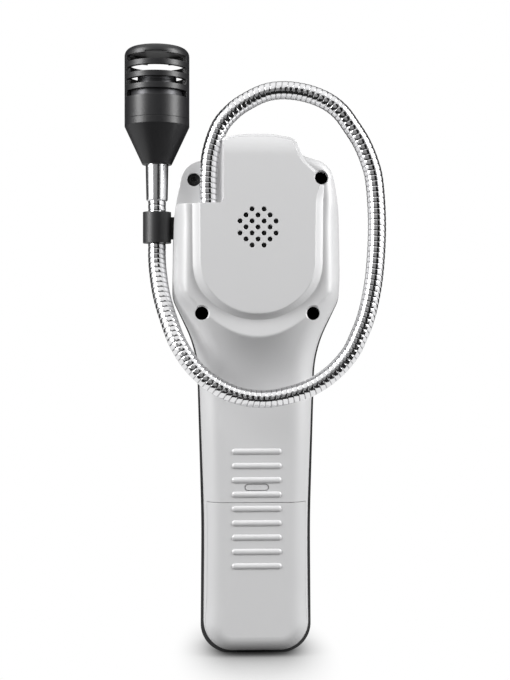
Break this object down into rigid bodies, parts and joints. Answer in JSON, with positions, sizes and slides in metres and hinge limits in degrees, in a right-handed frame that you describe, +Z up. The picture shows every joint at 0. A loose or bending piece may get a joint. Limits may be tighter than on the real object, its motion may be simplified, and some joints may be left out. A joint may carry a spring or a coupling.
{
  "type": "refrigerant leak detector",
  "caption": "Hand-held gas leak detector: grey and black housing with speaker grille, keypad, sliding battery cover and a slotted sensor head on a looped ribbed conduit.",
  "frame": {"origin": "middle of the flat foot of the front housing, on the parting plane of the two shells", "axes": "+X across the housing, to the right in the view of the rear; -Y out of the rear with the speaker grille; +Z up from the foot"},
  "size_m": [0.1049, 0.049, 0.2487],
  "materials": {
    "shell_grey": "fine satin texture",
    "shell_black": "satin",
    "head_black": "soft gloss",
    "screw_black": "black oxide",
    "plug_black": "matte",
    "conduit_metal": "bright chromed ribs",
    "ferrule_metal": "bright",
    "brass": "turned",
    "sensor_grey": "satin",
    "board_green": "solder mask",
    "panel_grey": "satin film",
    "lamp_green": "clear tinted",
    "lamp_amber": "clear tinted",
    "lamp_red": "clear tinted",
    "key_red": "soft touch",
    "key_grey": "soft touch",
    "cell_case": "steel can",
    "contact_metal": "bright"
  },
  "bodies": {
    "body": {"front_housing": "shell_black", "rear_housing": "shell_grey", "housing_screws": "screw_black", "screw_plugs": "plug_black", "gooseneck": "conduit_metal", "gooseneck_bush": "brass", "probe_clip": "shell_black", "probe_ferrule": "ferrule_metal", "sensor_base": "head_black", "sensor_cap": "head_black", "gas_sensor": "sensor_grey", "sensor_header": "shell_black", "main_board": "board_green", "board_screws": "contact_metal", "key_switches": "shell_black", "buzzer": "shell_black", "front_panel": "panel_grey", "leds_green": "lamp_green", "leds_amber": "lamp_amber", "leds_red": "lamp_red", "battery_holder": "shell_black", "battery_cell_1": "cell_case", "battery_cell_2": "cell_case", "battery_cell_3": "cell_case", "battery_cell_4": "cell_case", "cell_springs": "contact_metal", "cell_plates": "contact_metal"},
    "key_power": {"key_power": "key_red"},
    "key_reset": {"key_reset": "key_grey"},
    "key_mute": {"key_mute": "key_grey"},
    "key_battery": {"key_battery": "key_grey"},
    "key_up": {"key_up": "key_grey"},
    "key_down": {"key_down": "key_grey"},
    "battery_cover": {"battery_cover": "shell_grey"}
  },
  "joints": [
    {"name": "key_power_press", "type": "slide", "parent": "body", "child": "key_power", "axis": [0, -1, 0], "range_m": [0, 0.0008], "stiffness_N_per_m": 1500, "springref_m": -0.0004},
    {"name": "key_reset_press", "type": "slide", "parent": "body", "child": "key_reset", "axis": [0, -1, 0], "range_m": [0, 0.0008], "stiffness_N_per_m": 1500, "springref_m": -0.0004},
    {"name": "key_mute_press", "type": "slide", "parent": "body", "child": "key_mute", "axis": [0, -1, 0], "range_m": [0, 0.0008], "stiffness_N_per_m": 1500, "springref_m": -0.0004},
    {"name": "key_battery_press", "type": "slide", "parent": "body", "child": "key_battery", "axis": [0, -1, 0], "range_m": [0, 0.0008], "stiffness_N_per_m": 1500, "springref_m": -0.0004},
    {"name": "key_up_press", "type": "slide", "parent": "body", "child": "key_up", "axis": [0, -1, 0], "range_m": [0, 0.0008], "stiffness_N_per_m": 1500, "springref_m": -0.0004},
    {"name": "key_down_press", "type": "slide", "parent": "body", "child": "key_down", "axis": [0, -1, 0], "range_m": [0, 0.0008], "stiffness_N_per_m": 1500, "springref_m": -0.0004},
    {"name": "battery_cover_slide", "type": "slide", "parent": "body", "child": "battery_cover", "axis": [0, 0, -1], "range_m": [0, 0.062]}
  ]
}
